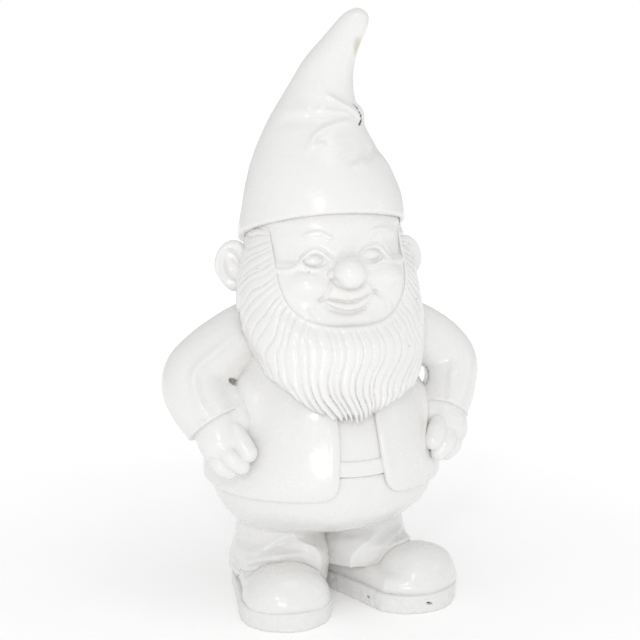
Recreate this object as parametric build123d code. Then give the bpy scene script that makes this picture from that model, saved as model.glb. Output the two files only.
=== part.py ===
"""Garden gnome: hollow moulded figure, 800 mm tall, hands on hips, in a pointed hat and big boots.

The figure is laid up as thin moulded shells that are bonded edge to edge and painted as one.
Frame: +Z up, the gnome faces -Y, its left hand is on +X, and the origin is on the ground under it.
A side is -1 for the gnome's right and +1 for its left. All lengths are in millimetres.
"""

import os
from math import atan2, cos, degrees, sin

from build123d import *

os.makedirs("parts", exist_ok=True)

# Driving dimensions
WALL = 5.0  # moulded shell
JACKET = 8.0  # jacket layer over the torso
BOND = 0.3  # bond line between neighbouring shells
SIDES = {"right": -1, "left": 1}

# Towers of level ellipses: (height, centre x, centre y, half width, half depth)
HAT = [
    (455, -1, -7, 116, 109),
    (505, -2, -7, 114, 108),
    (545, -1, -6, 108, 104),
    (585, -4, -2, 96, 93),
    (625, -8, 3, 76, 73),
    (665, -6, 7, 57, 55),
    (700, 2, 9, 43, 42),
    (735, 15, 8, 33.5, 33),
    (765, 34, 5, 26, 25),
    (785, 45, 3, 20, 19),
    (796, 49, 2, 12, 11.5),
    (800, 49, 2, 4, 3.8),
]
HEAD = [
    (397, 0, -28, 62, 60),
    (408, 0, -28, 84, 82),
    (440, 0, -22, 100, 94),
    (480, 0, -18, 103, 96),
    (515, 0, -14, 101, 94),
    (545, 0, -10, 90, 86),
    (565, 0, -8, 68, 66),
    (574, 0, -8, 38, 36),
]
HAIR = [
    (266, 2, -130, 24, 19),
    (274, 1, -112, 40, 38),
    (290, 0, -96, 66, 55),
    (310, 0, -82, 92, 67),
    (338, 0, -68, 111, 79),
    (366, 0, -57, 121, 89),
    (395, 0, -42, 127, 97),
    (420, 0, -31, 126, 102),
    (455, 0, -24, 120, 104),
    (490, 0, -15, 110, 101),
    (512, 0, -10, 103, 97),
]
JACKET_OUTER = [
    (164, 0, 0, 165, 150),
    (200, 0, 0, 164, 151),
    (240, 0, 0, 155, 145),
    (280, 0, 0, 142, 133),
    (320, 0, 3, 131, 116),
    (360, 0, 8, 119, 98),
    (382, 0, 10, 100, 84),
    (394, 0, 10, 76, 66),
]
TROUSERS = [
    (96, 0, 0, 92, 82),
    (108, 0, 0, 118, 108),
    (125, 0, 0, 137, 127),
    (145, 0, 0, 149, 138),
    (165, 0, 0, 155, 142),
    (196, 0, 0, 155, 142),
]
LEGS = {
    "right": [
        (27, -67, 14, 58, 62),
        (42, -68, 8, 61, 66),
        (60, -68, 6, 59, 64),
        (85, -67, 8, 55, 57),
        (114, -66, 8, 54, 55),
    ],
    "left": [
        (27, 50, 17, 55, 60),
        (42, 54, 12, 58, 64),
        (60, 60, 8, 57, 62),
        (85, 63, 8, 55, 57),
        (114, 64, 8, 54, 55),
    ],
}

# Hat brim: a flat cut that is high on the forehead and low on the nape
BRIM_Z = 497.0
BRIM_TILT = 17.2

# Face opening in the hair and beard
FACE_WIDTH = 162.0
FACE_HEIGHT = 200.0
FACE_BOTTOM = 392.0
FACE_CORNER = 58.0
FACE_BACK_Y = -35.0
NOSE = (-1, -129, 459)
NOSE_R = 20.0

# Ears
EAR_X = 124.0
EAR_Y = 5.0
EAR_TURN = 22.0
EAR_LOBE = [
    (422, 0, 0, 5, 3),
    (430, 1, 0, 14, 7),
    (448, 1, 0, 21, 10),
    (468, 1, 0, 25, 11),
    (484, 1, 0, 20, 9),
    (493, 1, 0, 7, 4),
]

# Jacket opening down the front, and its hem
HEM_Z = 164.0
TORSO_BASE_Z = 196.4
COLLAR_Z = 394.0
EDGE_RIGHT_X = -25.0
EDGE_LEFT_TOP_X = 18.0
EDGE_LEFT_MIDDLE_X = 23.0
EDGE_LEFT_HEM_X = 47.0
EDGE_MIDDLE_Z = 275.0

# Waistband, proud of the shirt, between the jacket's two edges
BAND_BOTTOM_Z = 199.0
BAND_TOP_Z = 218.0
BAND_PROUD = 3.0

# Arms: shoulder, elbow and cuff centres, with the sleeve's radius at each
SHOULDER = (76, 5, 377, 47)
ELBOW = (184, -12, 314, 46)
CUFF = (165, -62, 254, 37)
WRIST_R = 31.0
WRIST_IN_SLEEVE = 10.0

# Hands: centre and radius of the palm, and fingers from knuckle to tip with their radius
PALM = (154, -82, 224)
PALM_R = 31.0
FINGERS = [
    ((146, -101, 232), (128, -107, 224), 12.5),
    ((155, -99, 217), (139, -104, 208), 11.5),
    ((162, -90, 206), (150, -93, 199), 11.0),
]

# Way through from the seat into each leg
LEG_HOLE_R = 30.0

# Boots: toe and heel centres and radii of each sole, in plan
SOLE_H = 25.0
SOLE_WALL = 7.0
SOLES = {"right": ((-80, -90, 61), (-71, 31, 51)), "left": ((93, -75, 68), (38, 20, 48))}
# Toe cap: height, and half length and half width as shares of the toe's radius
TOE_CAP = [
    (20, 0.97, 0.95),
    (40, 0.96, 0.94),
    (56, 0.87, 0.85),
    (68, 0.71, 0.69),
    (77, 0.47, 0.45),
    (82, 0.16, 0.15),
]
# Quarter: height, shift towards the heel, and how much shorter and narrower than the sole it is
QUARTER = [
    (20, 2, 5, 4),
    (50, 2, 9, 6),
    (74, 6, 16, 14),
]

# Base: closing plate, ballast, screws, drain and pads under each boot
PLATE_Z = 2.0
PLATE_T = 5.0
DRAIN_R = 6.0
DRAIN_MARGIN = 2.0  # how much wider the drain is in the ballast
BALLAST_TOP = 24.4
SCREW_R = 2.0
SCREW_HEAD_R = 4.0
SCREW_HEAD_H = 2.5
SCREW_L = 18.0
SCREW_CLEAR = 0.1
PAD_R = 11.0
# Places across the base plate, as shares of the toe's or heel's radius
PAD_SPREAD = 0.55
TOE_SCREW = 0.6
HEEL_SCREW = 0.55

# How far cutting tools run past what they cut
OVERSHOOT = 1.0
PAST = 10.0
DEEP = 200.0
BIG = 900.0
STANDING = (Align.CENTER, Align.CENTER, Align.MIN)
HANGING = (Align.CENTER, Align.CENTER, Align.MAX)


def ring(section, inset=0.0):
    """A level ellipse, its size reduced by inset."""
    z, x, y, half_width, half_depth = section
    return Pos(x, y, z) * Ellipse(half_width - inset, half_depth - inset)


def tower(sections, inset=0.0):
    """A solid lofted smoothly through level ellipses."""
    return loft([ring(s, inset) for s in sections])


def shell(outer, inner, open_bottom=True, open_top=True):
    """The solid between two towers. An open end is a flat ring where both towers end level."""
    outer_faces, inner_faces = (t.faces().sort_by(Axis.Z) for t in (outer, inner))
    faces = outer_faces[1:-1] + inner_faces[1:-1]
    for end, is_open in ((0, open_bottom), (-1, open_top)):
        if is_open:
            faces.append(Face(outer_faces[end].outer_wire(), [inner_faces[end].outer_wire()]))
        else:
            faces += [outer_faces[end], inner_faces[end]]
    return Solid(Shell(faces))


def lowered(sections, drop):
    """The same sections with the top one lowered."""
    z, *rest = sections[-1]
    return sections[:-1] + [(z - drop, *rest)]


def above(z, tilt=0.0):
    """Everything above a plane through (0, 0, z) that drops towards +Y by tilt degrees."""
    block = Box(BIG, BIG, BIG, align=STANDING)
    return Pos(0, 0, z) * Rot(-tilt, 0, 0) * block


def below(z, tilt=0.0):
    """Everything below the same plane."""
    block = Box(BIG, BIG, BIG, align=HANGING)
    return Pos(0, 0, z) * Rot(-tilt, 0, 0) * block


def mirrored(point, side):
    return Vector(point[0] * side, point[1], point[2])


def taper(start, end, start_r, end_r):
    """A round taper between two points."""
    run = end - start
    return Plane(start, z_dir=run) * Cone(start_r, end_r, run.length, align=STANDING)


def rod(start, end, radius):
    """A round rod between two points."""
    run = end - start
    return Plane(start, z_dir=run) * Cylinder(radius, run.length, align=STANDING)


def grown(sections, by):
    return [(z, x, y, w + by, d + by) for z, x, y, w, d in sections]


def make_hat():
    cone = shell(tower(HAT), tower(HAT[:-2], WALL), open_top=False)
    return Part(cone.wrapped) - below(BRIM_Z, BRIM_TILT)


def make_head():
    inner = tower(lowered(HEAD, WALL), WALL)
    skull = shell(tower(HEAD), inner, open_top=False)
    return Part(skull.wrapped) + (Pos(*NOSE) * Sphere(NOSE_R) - inner)


def face_opening():
    middle = (0, FACE_BACK_Y, FACE_BOTTOM + FACE_HEIGHT / 2)
    outline = RectangleRounded(FACE_WIDTH, FACE_HEIGHT, FACE_CORNER)
    return extrude(Plane(middle, x_dir=(1, 0, 0), z_dir=(0, -1, 0)) * outline, DEEP)


def make_hair():
    """Hair and beard: one moulding that frames the face, wraps the nape and lies on the chest."""
    bulk = tower(HAIR) - tower(grown(HEAD, BOND))
    return bulk - tower(grown(JACKET_OUTER, BOND)) - face_opening()


def make_ear(side):
    lobe = Pos(side * EAR_X, EAR_Y, 0) * Rot(0, 0, side * EAR_TURN) * tower(EAR_LOBE)
    return lobe - tower(grown(HAIR, BOND)) - tower(grown(HAT, BOND))


def opening_outline(clear):
    """The gap between the jacket's front edges, seen from the front and made narrower by clear."""
    right = EDGE_RIGHT_X + clear
    top, low = COLLAR_Z + PAST, HEM_Z - PAST
    points = [
        (right, low),
        (EDGE_LEFT_HEM_X - clear, low),
        (EDGE_LEFT_MIDDLE_X - clear, EDGE_MIDDLE_Z),
        (EDGE_LEFT_TOP_X - clear, top),
        (right, top),
    ]
    plane = Plane((0, 0, 0), x_dir=(1, 0, 0), z_dir=(0, -1, 0))
    return extrude(plane * Polygon(*points, align=None), DEEP)


def jacket_layer():
    layer = shell(tower(JACKET_OUTER), tower(JACKET_OUTER, JACKET))
    return Part(layer.wrapped) - opening_outline(0)


def make_jacket():
    """Back and two fronts, parted along the side seams."""
    layer = jacket_layer()
    half = Box(BIG, BIG, BIG, align=(Align.CENTER, Align.MIN, Align.CENTER))
    back = layer & (Pos(0, BOND, 0) * half)
    fronts = layer - half
    pieces = {"jacket_back": back}
    for name, side in SIDES.items():
        pieces[f"jacket_front_{name}"] = fronts & (Pos(side * BIG / 2, 0, 0) * Box(BIG, BIG, BIG))
    return pieces


def make_torso():
    """The shirt: a tube just within the jacket, standing on the trousers' rim."""
    skin = grown(JACKET_OUTER, -JACKET - BOND)
    tube = shell(tower(skin), tower(skin, WALL))
    return Part(tube.wrapped) - below(TORSO_BASE_Z)


def make_waistband():
    outer = tower(grown(JACKET_OUTER, BAND_PROUD - JACKET))
    band = outer - tower(grown(JACKET_OUTER, -JACKET))
    return (band & above(BAND_BOTTOM_Z) & below(BAND_TOP_Z)) & opening_outline(BOND)


def make_trousers():
    z, *rest = TROUSERS[0]
    inner = tower([(z + WALL, *rest)] + TROUSERS[1:], WALL)
    seat = Part(shell(tower(TROUSERS), inner, open_bottom=False).wrapped)
    for name in SIDES:
        leg_x = LEGS[name][-1][1]
        seat -= Pos(leg_x, 0, z) * Cylinder(LEG_HOLE_R, DEEP)
    return seat


def leg_tower(name, inset=0.0):
    """The leg's ellipses are deeper than wide, so they are lofted a quarter turn round and turned back."""
    turned = [(z, y, -x, depth, width) for z, x, y, width, depth in LEGS[name]]
    return Rot(0, 0, 90) * tower(turned, inset)


def make_leg(name, boot):
    tube = shell(leg_tower(name), leg_tower(name, WALL))
    return Part(tube.wrapped) - tower(grown(TROUSERS, BOND)) - boot


def sole_outline(name, inset=0.0):
    (tx, ty, tr), (hx, hy, hr) = SOLES[name]
    circles = (Pos(tx, ty) * Circle(tr - inset)) + (Pos(hx, hy) * Circle(hr - inset))
    return make_hull(circles.edges())


def boot_bulk(name, inset=0.0):
    """Round toe cap and a low quarter behind it, inside the trouser leg."""
    (tx, ty, tr), (hx, hy, hr) = SOLES[name]
    turn = degrees(atan2(hy - ty, hx - tx))
    reach = Vector(tx - hx, ty - hy).length
    cap = [(z - (inset if z > SOLE_H else 0), 0, 0, tr * w, tr * d) for z, w, d in TOE_CAP]
    quarter = [
        (z - (inset if z > SOLE_H else 0), reach / 2 + back, 0, reach / 2 + hr - shorter, hr - narrower)
        for z, back, shorter, narrower in QUARTER
    ]
    return Pos(tx, ty, 0) * Rot(0, 0, turn) * (tower(cap, inset) + tower(quarter, inset))


def pad_places(name):
    """Three places across the base plate, towards the toe and the heel."""
    (tx, ty, tr), (hx, hy, hr) = SOLES[name]
    turn = atan2(ty - hy, tx - hx)
    across = Vector(-sin(turn), cos(turn))
    toe, heel = Vector(tx, ty), Vector(hx, hy)
    return [toe + across * tr * PAD_SPREAD, toe - across * tr * PAD_SPREAD, heel]


def screw_places(name):
    (tx, ty, tr), (hx, hy, hr) = SOLES[name]
    turn = atan2(ty - hy, tx - hx)
    along = Vector(cos(turn), sin(turn))
    return [Vector(tx, ty) + along * tr * TOE_SCREW, Vector(hx, hy) - along * hr * HEEL_SCREW]


def drain_place(name):
    (tx, ty, _), (hx, hy, _) = SOLES[name]
    return Vector((tx + hx) / 2, (ty + hy) / 2)


def screw(place, clear=0.0):
    head = Cylinder(SCREW_HEAD_R + clear, SCREW_HEAD_H, align=STANDING)
    shank = Cylinder(SCREW_R + clear, SCREW_L + clear, align=STANDING)
    return Pos(place.X, place.Y, PLATE_Z) * (head + shank)


def make_base(name):
    """The sole's rim, the plate that closes it, the ballast cast inside, and their small parts."""
    sole = extrude(sole_outline(name) - sole_outline(name, SOLE_WALL), SOLE_H)
    drain = drain_place(name)
    plate = Pos(0, 0, PLATE_Z) * extrude(sole_outline(name, SOLE_WALL + BOND), PLATE_T)
    plate -= Pos(drain.X, drain.Y, 0) * Cylinder(DRAIN_R, DEEP)
    ballast_z = PLATE_Z + PLATE_T + BOND
    cast = extrude(sole_outline(name, SOLE_WALL + BOND), BALLAST_TOP - ballast_z)
    ballast = Pos(0, 0, ballast_z) * cast
    ballast -= Pos(drain.X, drain.Y, 0) * Cylinder(DRAIN_R + DRAIN_MARGIN, DEEP)
    for place in screw_places(name):
        plate -= screw(place, SCREW_CLEAR)
        ballast -= screw(place, SCREW_CLEAR)
    return sole, plate, ballast


def make_arm(side):
    """Hollow sleeve from the shoulder over the elbow to an open cuff."""
    shoulder, elbow, cuff = (mirrored(p, side) for p in (SHOULDER, ELBOW, CUFF))

    def solid(inset, overshoot=0.0):
        end = cuff + (cuff - elbow).normalized() * overshoot
        radii = [p[3] - inset for p in (SHOULDER, ELBOW, CUFF)]
        return (
            taper(shoulder, elbow, radii[0], radii[1])
            + Pos(*elbow) * Sphere(radii[1])
            + taper(elbow, end, radii[1], radii[2])
        )

    arm = solid(0) - solid(WALL, OVERSHOOT)
    return arm - tower(grown(JACKET_OUTER, BOND)) - tower(grown(HAIR, BOND))


def make_hand(side):
    """Fist on the hip: wrist, palm and three folded fingers."""
    cuff, elbow = mirrored(CUFF, side), mirrored(ELBOW, side)
    start = cuff + (elbow - cuff).normalized() * WRIST_IN_SLEEVE
    palm = mirrored(PALM, side)
    hand = rod(start, palm, WRIST_R) + Pos(*palm) * Sphere(PALM_R)
    for knuckle, tip, radius in FINGERS:
        a, b = mirrored(knuckle, side), mirrored(tip, side)
        hand += rod(a, b, radius) + Pos(*a) * Sphere(radius) + Pos(*b) * Sphere(radius)
    return hand - tower(grown(JACKET_OUTER, BOND))


def build():
    pieces = {"hat": make_hat(), "head": make_head(), "hair_and_beard": make_hair()}
    pieces["torso"] = make_torso()
    pieces.update(make_jacket())
    pieces["waistband"] = make_waistband()
    pieces["trousers"] = make_trousers()
    screws, pads = [], []
    for name, side in SIDES.items():
        boot = boot_bulk(name)
        pieces[f"boot_{name}"] = boot - below(SOLE_H + BOND) - boot_bulk(name, WALL)
        pieces[f"trouser_leg_{name}"] = make_leg(name, boot_bulk(name, -BOND))
        sole, plate, ballast = make_base(name)
        pieces[f"sole_{name}"] = sole
        pieces[f"base_plate_{name}"] = plate
        pieces[f"ballast_{name}"] = ballast
        pieces[f"sleeve_{name}"] = make_arm(side)
        pieces[f"hand_{name}"] = make_hand(side)
        pieces[f"ear_{name}"] = make_ear(side)
        screws += [screw(place) for place in screw_places(name)]
        pad = Cylinder(PAD_R, PLATE_Z, align=STANDING)
        pads += [Pos(place.X, place.Y, 0) * pad for place in pad_places(name)]
    pieces["base_screws"] = Compound(children=screws)
    pieces["foot_pads"] = Compound(children=pads)
    return pieces


for node, shape in build().items():
    export_step(shape, f"parts/{node}.step")
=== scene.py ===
"""Garden gnome: the looks. Every painted piece is sculpted as a distance field round its CAD solid.

A field takes points as rows of (x, y, z) in millimetres, in the row frame, and gives the distance to
the piece's surface, negative inside. Relief is added to the field before it is turned into a mesh.
"""

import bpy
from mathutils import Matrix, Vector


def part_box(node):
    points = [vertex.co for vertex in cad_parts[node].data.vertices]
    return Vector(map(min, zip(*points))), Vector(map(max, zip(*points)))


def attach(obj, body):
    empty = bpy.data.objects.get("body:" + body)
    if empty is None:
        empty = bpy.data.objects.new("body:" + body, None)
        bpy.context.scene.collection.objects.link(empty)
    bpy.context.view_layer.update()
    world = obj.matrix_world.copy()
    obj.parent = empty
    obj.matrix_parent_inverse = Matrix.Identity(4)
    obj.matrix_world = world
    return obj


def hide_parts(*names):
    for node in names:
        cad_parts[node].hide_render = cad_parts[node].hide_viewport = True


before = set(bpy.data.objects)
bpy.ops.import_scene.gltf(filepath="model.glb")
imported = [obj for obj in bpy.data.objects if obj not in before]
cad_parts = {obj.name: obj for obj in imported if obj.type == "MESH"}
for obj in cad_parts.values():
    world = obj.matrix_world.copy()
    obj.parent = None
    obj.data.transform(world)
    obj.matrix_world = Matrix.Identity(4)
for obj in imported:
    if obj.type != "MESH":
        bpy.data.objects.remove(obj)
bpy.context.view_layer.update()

from concurrent.futures import ThreadPoolExecutor
from math import cos, radians, sin, tan

import bpy
import numpy as np
from mathutils import Euler, Vector

MM = 1000.0
COARSER = 1.0
SIDES = {"right": -1, "left": 1}
SIDE_NAMES = {-1: "right", 1: "left"}

# ---------------------------------------------------------------- numbers that shape the figure, in mm

# Hat brim: a cut through (0, 0, BRIM_Z), tilted up at the forehead by so many degrees
BRIM_Z = 500.0
BRIM_TILT = 17.2
HAT_TOP = 799.6

# Hair and beard: (height, centre y, half width, half depth)
HAIR = [
    (250, -94, 92, 50), (270, -92, 98, 54), (290, -86, 106, 61), (310, -78, 112, 69),
    (338, -67, 118, 80), (366, -56, 123, 90), (395, -42, 127, 98), (420, -31, 126, 102),
    (455, -24, 120, 104), (490, -15, 110, 101), (515, -10, 103, 97),
]
# Lower edge of the beard, seen from the front: (x, z)
BEARD_EDGE = [
    (-124, 372), (-113, 350), (-98, 323), (-81, 309), (-67, 297), (-52, 287), (-36, 279), (-18, 272),
    (0, 269), (12, 272), (28, 281), (47, 292), (73, 301), (98, 311), (114, 334), (125, 368),
]
NAPE_Z = 398.0

# Face opening: a rounded U, seen from the front
FACE_CENTRE = (-3.0, 470.0)
FACE_HALF_WIDTH = 86.5
FACE_DROP = 79.0
FACE_POWER = 2.7

NOSE = (-6.5, -134.0, 460.0)

# How far the beard's locks sway aside, by height
SWAY = [
    (262, 24), (276, 18), (292, 6), (305, -3), (318, -4), (332, 1),
    (347, 9), (362, 11), (378, 7), (393, 0), (405, -6),
]
# Width of one lock of the beard
LOCK = 13.0

# The side that is looked at most: so many degrees to the gnome's right
SIGHT = 18.0

# Folds of the hat, seen from SIGHT: curve of (across, height), rise, half width
HAT_FOLDS = [
    ([(84, 622), (73, 613), (62, 605), (50, 598)], -5.0, 6.0),
    ([(-22, 738), (-18, 716), (-12, 699), (-3, 688), (6, 683)], 1.4, 8),
    ([(-42, 702), (-30, 684), (-14, 674), (4, 672)], -1.6, 9),
    ([(-4, 694), (12, 690), (26, 683), (38, 677), (46, 674)], -1.0, 7),
    ([(-2, 686), (13, 679.5), (27, 672), (41, 665), (49, 656), (49, 646)], 4.4, 3.4),
    ([(2, 672), (14, 669), (27, 664)], -1.0, 5),
    ([(-16, 668), (1, 664), (15, 662), (30, 661), (42, 658)], 2.0, 3.6),
    ([(-62, 661), (-33, 663), (-11, 663)], 1.4, 8),
    ([(-64, 644), (-44, 648), (-23, 650), (1, 652), (25, 653), (40, 652)], -2.8, 9),
    ([(42, 652), (32, 650), (20, 647), (7, 642), (-3, 636), (-10, 630), (-14, 621), (-17, 611)], 4.6, 4.0),
    ([(-15, 617), (-6, 619), (7, 623)], 2.2, 3.4),
    ([(-14, 618), (-24, 609)], 1.4, 5),
    ([(-9, 625), (1, 630), (14, 634), (30, 638), (46, 640)], -1.6, 7),
    ([(66, 616), (60, 613), (53, 608), (46, 602), (40, 598), (32, 593)], -3.4, 4),
    ([(60, 604), (50, 596), (40, 589)], 1.2, 6),
]

# A narrow slit behind the topmost fold, seen the same way, and its half width at the top and bottom
HAT_SLIT = [(41, 672), (46, 667), (50, 660), (52, 652), (49, 645)]
SLIT_R = (0.0, 1.1)

# Eyebrows, seen from the front, with their half width and relief
BROWS = [
    [(-54, 505), (-46, 508), (-39, 509), (-32, 507), (-25, 503)],
    [(33, 506.5), (39, 510.5), (48, 512), (58, 511)],
]
BROW_R = 3.3
BROW_PROUD = 1.9
# How deep each temple's hollow is, and how fast it ends on the cheek below
TEMPLE_DEEP = 5.0
TEMPLE_EDGE = 4.0
# Eyes: (x, how proud, z, half width, half height) of socket and ball, (x, z, half width, half height) of
# the temple's hollow, and lines in front view
EYES = {
    "right": {
        "socket": (-43, 6.4, 477, 23, 14),
        "ball": (-43.5, -9.8, 473.5, 15.5, 9),
        "band": [(-63, 470), (-58, 477.5), (-50, 483.5), (-42, 485.5), (-35, 484), (-28, 478.5), (-21, 472)],
        "fold": [
            (-66, 470), (-61, 476), (-56, 482), (-50, 488), (-44, 490.5), (-38, 489.5),
            (-31, 485.5), (-24, 479), (-18, 474),
        ],
        "slit": [(-58, 471), (-56, 475), (-51, 478.5), (-43, 481), (-38, 480), (-32, 476.5), (-26, 471.5)],
        "rim": [(-60, 471), (-57, 466.5), (-50, 463.5), (-41, 462.8), (-32, 465.3), (-25, 470)],
        "shelf": [(-90, 460.5), (-80, 461), (-70, 463.5), (-61, 468)],
        "wrinkle": [(-74, 457.5), (-65, 460.5), (-56, 460), (-46, 458.3), (-34, 459.5)],
        "temple": (-70, 474, 17, 24),
    },
    "left": {
        "socket": (36, 6.4, 481, 24, 13),
        "ball": (32, -9.8, 479, 16, 8.6),
        "band": [(11, 477), (18, 483.5), (28, 488), (38, 489.5), (46, 487.5), (51.5, 481), (58, 474.5)],
        "fold": [
            (8, 475), (13, 481), (20, 488), (28, 492), (38, 494), (46, 493),
            (53, 488), (57, 481), (62, 476),
        ],
        "slit": [(14, 477), (18, 481.5), (23, 484.5), (32, 486.8), (39, 486), (44.5, 483), (49, 477)],
        "rim": [(10, 474.5), (18, 467.5), (26, 465.5), (37, 467), (46, 469.8), (57, 470.5)],
        "shelf": [(50, 471.5), (60, 469.5), (70, 469), (84, 469)],
        "wrinkle": [(16, 461), (28, 460), (40, 462.5), (54, 465.5)],
        "temple": (72, 479, 15, 24),
    },
}
# What stands out round an eye: the line's name, radius, how proud, and how softly it joins
LIDS = [("band", 3.6, -1.2, 2.0), ("rim", 2.4, -0.6, 1.6), ("shelf", 3.0, -0.6, 4.0)]
# The creases round the mouth, seen from the front: curve of (x, z), rise, half width
MOUTH = [
    (
        [(-28, 459), (-25, 454), (-20.5, 446), (-12, 440.5), (-2, 439), (8, 440), (15, 444), (20, 451)],
        -2.6, 2.2,
    ),
    ([(-24, 458), (-25, 450), (-27, 444), (-30, 436), (-35, 428.5), (-44, 422.5), (-56, 416.5)], -2.6, 3.0),
    ([(18, 452), (26, 445), (30, 440), (33, 434.5), (38, 429.5), (46, 427), (58, 423.5)], -2.8, 2.8),
    (
        [(-37, 428.5), (-30, 426), (-20, 424), (-8, 422.3), (4, 422.8), (14, 426), (24, 430), (33, 435)],
        -2.3, 1.7,
    ),
    (
        [(-41, 424), (-31, 416), (-21, 410.8), (-10, 407.8), (2, 407), (14, 410.5), (23, 417), (31, 426)],
        -3.0, 2.8,
    ),
    ([(-54, 421), (-54, 411), (-49.5, 405), (-42, 397)], -1.1, 1.5),
    ([(-50.5, 420), (-50.5, 412), (-46, 406.5), (-38, 399)], 0.8, 2.0),
    ([(46, 425), (51.5, 415), (49, 407)], -1.0, 1.7),
    ([(56, 423), (61, 414), (59, 408)], -1.1, 1.7),
]
LIP = [(-36, 425.5), (-26, 420.8), (-14, 416.8), (-1, 415.3), (11, 418.3), (21, 423.3), (30, 430.5)]

# Ears
EAR_AT = (123.0, 4.0, 459.0)
EAR_TURN = 24.0
EAR_WIDTH = 25.0
EAR_HEIGHT = 35.0
# Grooves of the ear, in its own plane: curve of (out from the head, up), rise, half width
EAR_GROOVES = [
    ([(9, 21.5), (2, 21.6), (-3.5, 17.6), (-7.5, 11.6), (-10.5, 4.0), (-12, -2)], -2.6, 2.0),
    ([(4.5, 10.5), (-2.0, 4.9), (-6.0, 1.6), (-10.1, -0.4), (-14, -2)], -2.2, 1.8),
    ([(7, 17), (8.9, 4.7), (7.6, -4.6), (3.6, -12.7), (-1.7, -17.3), (-8.5, -20.6), (-14, -22)], -2.4, 2.0),
]

# Jacket: thickness, height of its hem, and the front edges as (z, x)
JACKET = 9.0
HEM_Z = 165.5
RIGHT_EDGE = [(150, -23), (183, -23), (208, -21), (240, -19), (300, -20), (400, -20)]
LEFT_EDGE = [(150, 47), (182, 42), (212, 36), (240, 33), (270, 30), (400, 26)]

# Waistband: its lower and upper edge, and how far it stands out of the shirt
BAND_Z = (196.5, 217.0)
BAND_PROUD = 2.6
# How far the shirt lies inside the jacket's face
SHIRT = 6.8

# Trouser legs: (height, centre x, centre y, half width, half depth)
LEGS = {
    "right": [
        (20, -67, 12, 56, 62), (34, -68, 10, 62, 68), (52, -68, 0, 60, 72),
        (68, -68, -6, 57, 68), (85, -67, 2, 56, 60), (114, -66, 6, 55, 56),
        (130, -66, 6, 56, 56),
    ],
    "left": [
        (20, 52, 16, 54, 60), (34, 55, 12, 58, 66), (52, 59, 2, 57, 70), (68, 62, -6, 56, 66),
        (85, 63, 2, 56, 59), (114, 64, 6, 55, 56), (130, 64, 6, 56, 56),
    ],
}

# Boots: the sole's height, and its toe and heel in plan: centre x, centre y, radius
SOLE_H = 25.0
SOLES = {"right": ((-80, -90, 61), (-71, 31, 51)), "left": ((96, -75, 69), (39, 20, 48))}
# Toe caps: half length, half width, top and shift across the foot
TOE_CAP = {"right": (53.0, 58.5, 69.5, 0.0), "left": (50.0, 56.0, 77.0, -6.0)}
# Where the trouser hems end on the boots, in plan: centre, half width, half depth
HEMS = {"right": (-68, 4, 58, 82), "left": (64, 4, 62, 94)}
# Height of the trouser hems at the heel
HEM_LOW = {"right": 29.0, "left": 45.0}
LEG_FOLDS = {
    "right": [
        ([(-112, 52), (-100, 62), (-86, 70), (-65, 74), (-41, 74), (-24, 70), (-6, 62)], 3.6, 5.0),
        ([(-114, 44), (-96, 55), (-75, 64), (-51, 67), (-31, 64), (-10, 55)], -1.0, 3.0),
        ([(-108, 64), (-83, 75), (-62, 84), (-41, 92), (-20, 98)], -1.7, 3.0),
        ([(-106, 71), (-83, 81), (-62, 90), (-41, 98)], 1.8, 4.5),
        ([(-128, 57), (-111, 51), (-98, 48)], 2.6, 3.6),
        ([(-128, 48), (-112, 44), (-100, 42)], -2.4, 3.0),
        ([(-108, 108), (-102, 100), (-98, 90)], -1.4, 3.0),
    ],
    "left": [
        ([(2, 41), (21, 41), (39, 43), (56, 49), (78, 58), (99, 68), (124, 77)], 2.6, 4.5),
        ([(60, 59), (81, 69), (99, 77), (124, 82)], -1.8, 3.2),
        ([(62, 66), (90, 79), (116, 86)], 2.0, 3.5),
        ([(72, 78), (92, 86), (118, 91)], -2.0, 2.8),
        ([(24, 84), (44, 88), (66, 90)], -1.0, 3.5),
    ],
}

# Arms: centre line from the shoulder to the cuff, with radii
SLEEVES = {
    "right": [
        (70, 6, 376, 47), (118, 1, 356, 47), (158, -7, 334, 46), (182, -18, 311, 45),
        (181, -38, 285, 41), (168, -60, 261, 37),
    ],
    "left": [
        (70, 6, 378, 47), (118, 1, 360, 47), (157, -7, 339, 46), (178, -16, 314, 45),
        (173, -34, 286, 40), (159, -56, 259, 35),
    ],
}
CUFFS = {"right": (167, -61, 259.5), "left": (157, -60, 253.5)}
CUFF_AXIS = (-0.41, -0.48, -0.775)
WRIST_R = {"right": 32.0, "left": 30.5}
# The crooks of the arms: solid up to the hole beside the body
WEBS = {
    "right": [(131, -27, 318, 14), (147, -31, 298, 21), (139, -48, 280, 26), (138, -60, 262, 26)],
    "left": [(146, -32, 276, 19), (140, -46, 266, 24), (136, -58, 252, 24)],
}
# Beside the body, a pocket under the right arm and a hole right through under the left
POCKET = ((-137, -42, 311), (9, 10, 3.5), (0, 30, 0))
HOLE = ((137, -32, 301), (6.5, 12))
BACK_SEAM = [(0, 147, 170), (0, 152, 200), (0, 142, 250), (0, 120, 310), (0, 98, 360)]
# Swell of each jacket front towards the forearm: centre and radii
SWELL = {"right": ((118, -48, 268), (25, 28, 50)), "left": ((119, -50, 252), (23, 26, 36))}
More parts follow.
